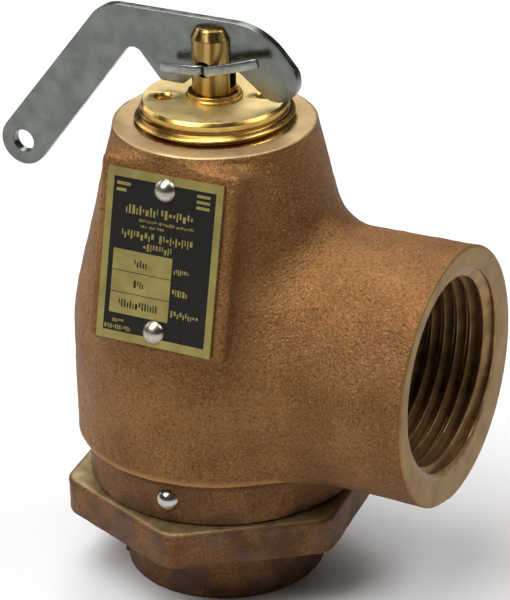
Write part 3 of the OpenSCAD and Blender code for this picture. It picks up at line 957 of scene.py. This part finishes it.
def lock_pin():
    """Drive pin through the skirt into the base."""
    points, faces = lathe(dome(LOCK_PIN_R, LOCK_PIN_H, 0.93, 6.3), 64)
    outwards = np.column_stack([SKIRT_R - 0.05 + points[:, 2], points[:, 0], LOCK_PIN_Z + points[:, 1]])
    piece = new_piece("lock_pin_head", spun(outwards, LOCK_PIN_TURN), faces, [BRIGHT], "base_lock_pin")
    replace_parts(tidy(piece, sharp=50), "base_lock_pin")


# ---- Adjusting cap, bushing, spring ----


def adjusting_cap():
    """Brass cap: a turned rim with two spanner holes, over an outside thread."""
    seam = CAP_TOP_Z - 1.45
    rim = fillet([(BUSH_R, seam, 0), (CAP_R - 1.0, seam, 0), (CAP_R - 0.95, CAP_TOP_Z - 0.55, 0.1),
                  (CAP_R - 1.35, CAP_TOP_Z, 0.12), (BUSH_R, CAP_TOP_Z, 0)])
    piece = turned_piece("cap_rim", rim, 256, 40, [CAP_BRASS, CAP_FACE], "adjusting_cap")
    drills = []
    for turn in SPANNER_TURNS:
        shape = fillet([(0, 6, 0), (0, -1.4, 0), (SPANNER_HOLE_R, -1.35, 0.1), (SPANNER_HOLE_R, 6, 0)])
        p, f = lathe(shape, 48)
        drills.append((p + [SPANNER_R * math.cos(turn), SPANNER_R * math.sin(turn), CAP_TOP_Z], f))
    carved(piece, drills)
    for face in piece.data.polygons:
        face.material_index = int(face.normal.z > 0.9 and face.center.z > (CAP_TOP_Z - 0.1) * MM)
    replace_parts(piece, "adjusting_cap")

    def wall(z, phase):
        """The outside thread's radius, which fades out under the rim."""
        top = np.clip((seam - 0.1 - z) / 0.55, 0, 1)
        return CAP_R - 0.85 + 0.9 * vee(phase, 0.2) * 0.94 * top

    points, faces = thread_sleeve(CAP_BOTTOM_Z, seam - 0.02, CAP_PITCH, wall, BUSH_R)
    points = spun(points, CAP_THREAD_TURN)
    tidy(new_piece("cap_thread", points, faces, [CAP_BRASS], "adjusting_cap"), sharp=28)


def turned_normals(piece):
    """Gives the faces left from turning their true round normals, however they were cut."""
    mesh = piece.data
    normals = np.zeros((len(mesh.loops), 3))
    for face in mesh.polygons:
        n, middle = np.array(face.normal), np.array(face.center)
        rho, slope = np.hypot(*middle[:2]), np.hypot(*n[:2])
        turned = rho > 1.5 * MM and slope > 0.05 and n[:2] @ middle[:2] > 0.98 * rho * slope
        for loop in face.loop_indices:
            spot = np.array(mesh.vertices[mesh.loops[loop].vertex_index].co)
            away = spot[:2] / max(np.hypot(*spot[:2]), 1e-9)
            normals[loop] = (away[0] * slope, away[1] * slope, n[2]) if turned else n
    mesh.normals_split_custom_set(normals)
    return piece


def stem():
    """Brass stem with a slot for the lever, a hole for the split pin and one for the roll pin."""
    low, top = heights("stem")
    thick_z = STEM_THIN_TOP_Z + STEM_R - STEM_THIN_R
    outline = fillet([(0, low, 0), (STEM_THIN_R, low, 0.2), (STEM_THIN_R, STEM_THIN_TOP_Z, 0),
                      (STEM_R, thick_z, 0.1), (STEM_R, top - 1.7, 0.3), (2.55, top, 0.6), (0, top, 0)])
    piece = turned_piece("stem_rod", outline, 128, 30, [STEM_BRASS], "stem")
    through = 6.0
    slot = tile(-through, through, SLOT_BOTTOM_Z, top + 2, -SLOT_HALF, SLOT_HALF)
    roll_pin_z = sum(heights("stem_roll_pin")) / 2
    carved(piece, [slot, across(PIN_HOLE_R, PIN_Z, through), across(ROLL_HOLE_R, roll_pin_z, through)])
    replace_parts(turned_normals(tidy(piece, sharp=30)), "stem")


def bushing():
    """The bush round the stem, with a small step where it leaves the cap."""
    low, top = heights("stem_bushing")
    outline = fillet([(STEM_R + 0.06, low, 0.1), (BUSH_R, low, 0.2), (BUSH_R, CAP_TOP_Z + 0.42, 0.1),
                      (BUSH_R - 0.28, CAP_TOP_Z + 0.5, 0.1), (BUSH_R - 0.32, top, 0.16),
                      (STEM_R + 0.5, top, 0.12), (STEM_R + 0.06, top - 0.7, 0.1)])
    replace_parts(turned_piece("bushing_ring", outline, 192, 40, [BUSH_BRASS], "stem_bushing"), "stem_bushing")


def sweep(path, normals, section):
    """Points and faces of a section carried along a path.

    Each section point is (along the normal, along tangent x normal); ends are closed.
    """
    path, normals = np.asarray(path, float), np.asarray(normals, float)
    tangents = np.gradient(path, axis=0)
    tangents /= np.linalg.norm(tangents, axis=1, keepdims=True)
    normals = normals - tangents * np.sum(tangents * normals, axis=1, keepdims=True)
    normals /= np.linalg.norm(normals, axis=1, keepdims=True)
    sides = np.cross(tangents, normals)
    n = len(section)
    points = np.concatenate([p + np.outer(section[:, 0], a) + np.outer(section[:, 1], b)
                             for p, a, b in zip(path, normals, sides)])
    faces = [(i * n + k, i * n + (k + 1) % n, (i + 1) * n + (k + 1) % n, (i + 1) * n + k)
             for i in range(len(path) - 1) for k in range(n)]
    faces += [tuple(range(n))[::-1], tuple(range((len(path) - 1) * n, len(path) * n))]
    return points, faces


def spring():
    """Coil spring with closed, ground ends."""
    mean = SPRING_OUTER_R - WIRE_R
    low, high = SPRING_BOTTOM_Z + WIRE_R, SPRING_TOP_Z - WIRE_R
    t = np.linspace(0, 1, int(SPRING_TURNS * 48))
    rise = np.interp(t, [0, 0.15, 0.85, 1], [0, 0.0375, 0.9625, 1])
    angle = 2 * np.pi * SPRING_TURNS * t
    path = np.column_stack([mean * np.cos(angle), mean * np.sin(angle), low + (high - low) * rise])
    outwards = np.column_stack([np.cos(angle), np.sin(angle), np.zeros_like(angle)])
    around = np.linspace(0, 2 * np.pi, 20, endpoint=False)
    points, faces = sweep(path, outwards, WIRE_R * np.column_stack([np.cos(around), np.sin(around)]))
    points[:, 2] = np.clip(points[:, 2], SPRING_BOTTOM_Z, SPRING_TOP_Z)
    piece = new_piece("spring_coil", points, faces, [WIRE], "spring")
    tidy(piece, sharp=50)
    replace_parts(piece, "spring")
    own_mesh(piece)


# ---- Split pin ----


def split_pin():
    """Half-round wire folded double: a loop behind the stem, and legs spread in front of it."""
    wire = 0.8
    back_y, front_y, loop_r, bend_r = STEM_R + 0.6, -STEM_R - 0.45, 1.25, 0.85
    legs = [(-1, (-7.4, -3.75, PIN_Z - 0.55), PIN_Z), (1, (9.3, -3.35, PIN_Z + 2.5), PIN_Z + 0.1)]
    halves = []
    for sign, tip, bend_z in legs:
        tip, bend = np.array(tip), np.array([sign * 1.0, front_y - 0.35, bend_z])
        half = []  # from the leg's tip to the loop: x, y, z and the normal's x and y
        for k, t in enumerate(np.linspace(0, 1, 12)):
            x, y, z = tip + (bend - tip) * t
            half.append((x, y - 0.25 * math.sin(math.pi * k / 11), z, 0, -1))
        for a in np.radians(np.linspace(15, 90, 7)):
            x, y = 0.1 + bend_r * (1 - math.sin(a)), bend[1] + bend_r * (1 - math.cos(a)) + 0.05
            half.append((sign * x, y, PIN_Z, -sign * math.sin(a), -math.cos(a)))
        half += [(sign * 0.06, y, PIN_Z, -sign, 0) for y in np.linspace(front_y + 0.6, back_y - 0.4, 10)]
        halves.append(half)
    loop = [(loop_r * 0.98 * math.cos(a), back_y + loop_r * 0.75 + loop_r * math.sin(a), PIN_Z,
             -math.cos(a), -math.sin(a)) for a in np.linspace(math.radians(215), math.radians(-35), 22)]
    spots = np.array(halves[0] + loop + halves[1][::-1], float)
    path = spots[:, :3]
    normals = np.column_stack([spots[:, 3:], np.zeros(len(spots))])
    arc = np.linspace(math.pi / 2, 3 * math.pi / 2, 9)
    section = [(wire * 0.85 * math.cos(a) - 0.22, wire * math.sin(a)) for a in arc]
    lip = [(0.22 * math.sin(a) - 0.22, wire - 0.22 * (1 - math.cos(a))) for a in np.radians((80, 55, 30))]
    section = np.array([(x, -y) for x, y in lip[::-1]] + lip + section)[::-1]
    points, faces = sweep(path, normals, section)
    piece = new_piece("split_pin", points, faces, [PIN_STEEL], "cotter_pin")
    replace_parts(tidy(piece, sharp=50), "cotter_pin")


# ---- Pieces whose CAD shape is right ----

SOFT_EDGES = {
    "lever": ("lever_blade", 0.3, ZINC, "plated_steel"),
    "upper_spring_step": ("spring_step_top", 0.12, INNER_ZINC, "plated_steel"),
    "lower_spring_step": ("spring_step_low", 0.12, INNER_ZINC, "plated_steel"),
    "stem_roll_pin": ("roll_pin", 0.05, BRIGHT, "pin_steel"),
    "disc_guide": ("guide_cage", 0.12, INNER_BRASS, "machined_brass"),
    "guide_gasket": ("gasket_ring", 0.05, FIBRE, "gasket_fibre"),
    "disc_holder": ("disc_carrier", 0.15, INNER_BRASS, "machined_brass"),
    "seat_disc": ("rubber_disc", 0.15, RUBBER, "seal_rubber"),
    "seat_retainer": ("disc_washer", 0.1, BRIGHT, "pin_steel"),
    "retainer_screw": ("disc_screw", 0.1, BRIGHT, "pin_steel"),
}


# ---- Stage ----


def direction(azimuth, elevation):
    """Unit vector at an azimuth from the name plate's side and an elevation, in degrees."""
    a, e = math.radians(azimuth), math.radians(elevation)
    return Vector((math.sin(a) * math.cos(e), -math.cos(a) * math.cos(e), math.sin(e)))


def camera():
    """The viewpoint: right of the name plate and above, with a long lens."""
    azimuth, elevation, roll = 27.871, 25.904, math.radians(-1.315)
    distance, aside, above = 495.091, 5.569, 0.880
    back = direction(azimuth, elevation)
    right = direction(azimuth + 90, 0)
    up = back.cross(right)
    place = Vector((0, 0, 45)) + right * aside + up * above + back * distance
    tilted_right = right * math.cos(roll) + up * math.sin(roll)
    tilted_up = up * math.cos(roll) - right * math.sin(roll)
    data = bpy.data.cameras.new("camera")
    data.lens, data.sensor_width = 184.683, 36
    data.clip_start, data.clip_end = 0.01, 20
    seen = shown("camera", data)
    seen.matrix_world = Matrix((tilted_right, tilted_up, back)).transposed().to_4x4()
    seen.location = place * MM
    bpy.context.scene.camera = seen


# Name, azimuth from the name plate's side, elevation and power in watts.
LIGHTS = [("key", -28, 53, 4.8), ("top", -40, 80, 4.0), ("left", -100, 25, 1.4), ("right", 112, 50, 3.2),
          ("back", 208, 45, 2.4)]
LIGHT_DISTANCE, LIGHT_SIZE = 800, 450
LIT_MIDDLE = (8, 0, 45)
FLOOR_HALF = 4000


def soft_light(name, azimuth, elevation, power):
    """A square soft box that faces the valve's middle."""
    back = direction(azimuth, elevation)
    data = bpy.data.lights.new(name, "AREA")
    data.shape, data.size, data.energy = "SQUARE", LIGHT_SIZE * MM, power
    lamp = shown(name, data)
    lamp.location = (Vector(LIT_MIDDLE) + back * LIGHT_DISTANCE) * MM
    lamp.rotation_mode = "QUATERNION"
    lamp.rotation_quaternion = back.to_track_quat("Z", "Y")


def stage():
    """Plain pale floor and soft studio light."""
    corners = [(x * FLOOR_HALF, y * FLOOR_HALF, 0) for x, y in ((-1, -1), (1, -1), (1, 1), (-1, 1))]
    floor = shown("floor", mesh_of("floor", corners, [(0, 1, 2, 3)]))
    look = Look("floor", 0.0, 0.9)
    grey = look.steps(look.noise(60.0), 0.0, 1.0, 0.66, 0.67)
    look.set(base_color=grey)
    floor.data.materials.append(look.material)
    world = bpy.data.worlds.new("studio")
    world.use_nodes = True
    background = world.node_tree.nodes["Background"].inputs
    background["Color"].default_value = (1, 1, 1, 1)
    background["Strength"].default_value = 0.05
    bpy.context.scene.world = world
    for light in LIGHTS:
        soft_light(*light)
    bpy.context.scene.view_settings.view_transform = "Standard"


camera()
castings()
threads()
name_plate()
rivets()
lock_pin()
adjusting_cap()
stem()
bushing()
spring()
split_pin()
for cad_node, (piece_name, edge, finish, finish_slot) in SOFT_EDGES.items():
    softened(cad_node, piece_name, edge, finish, finish_slot)
stage()
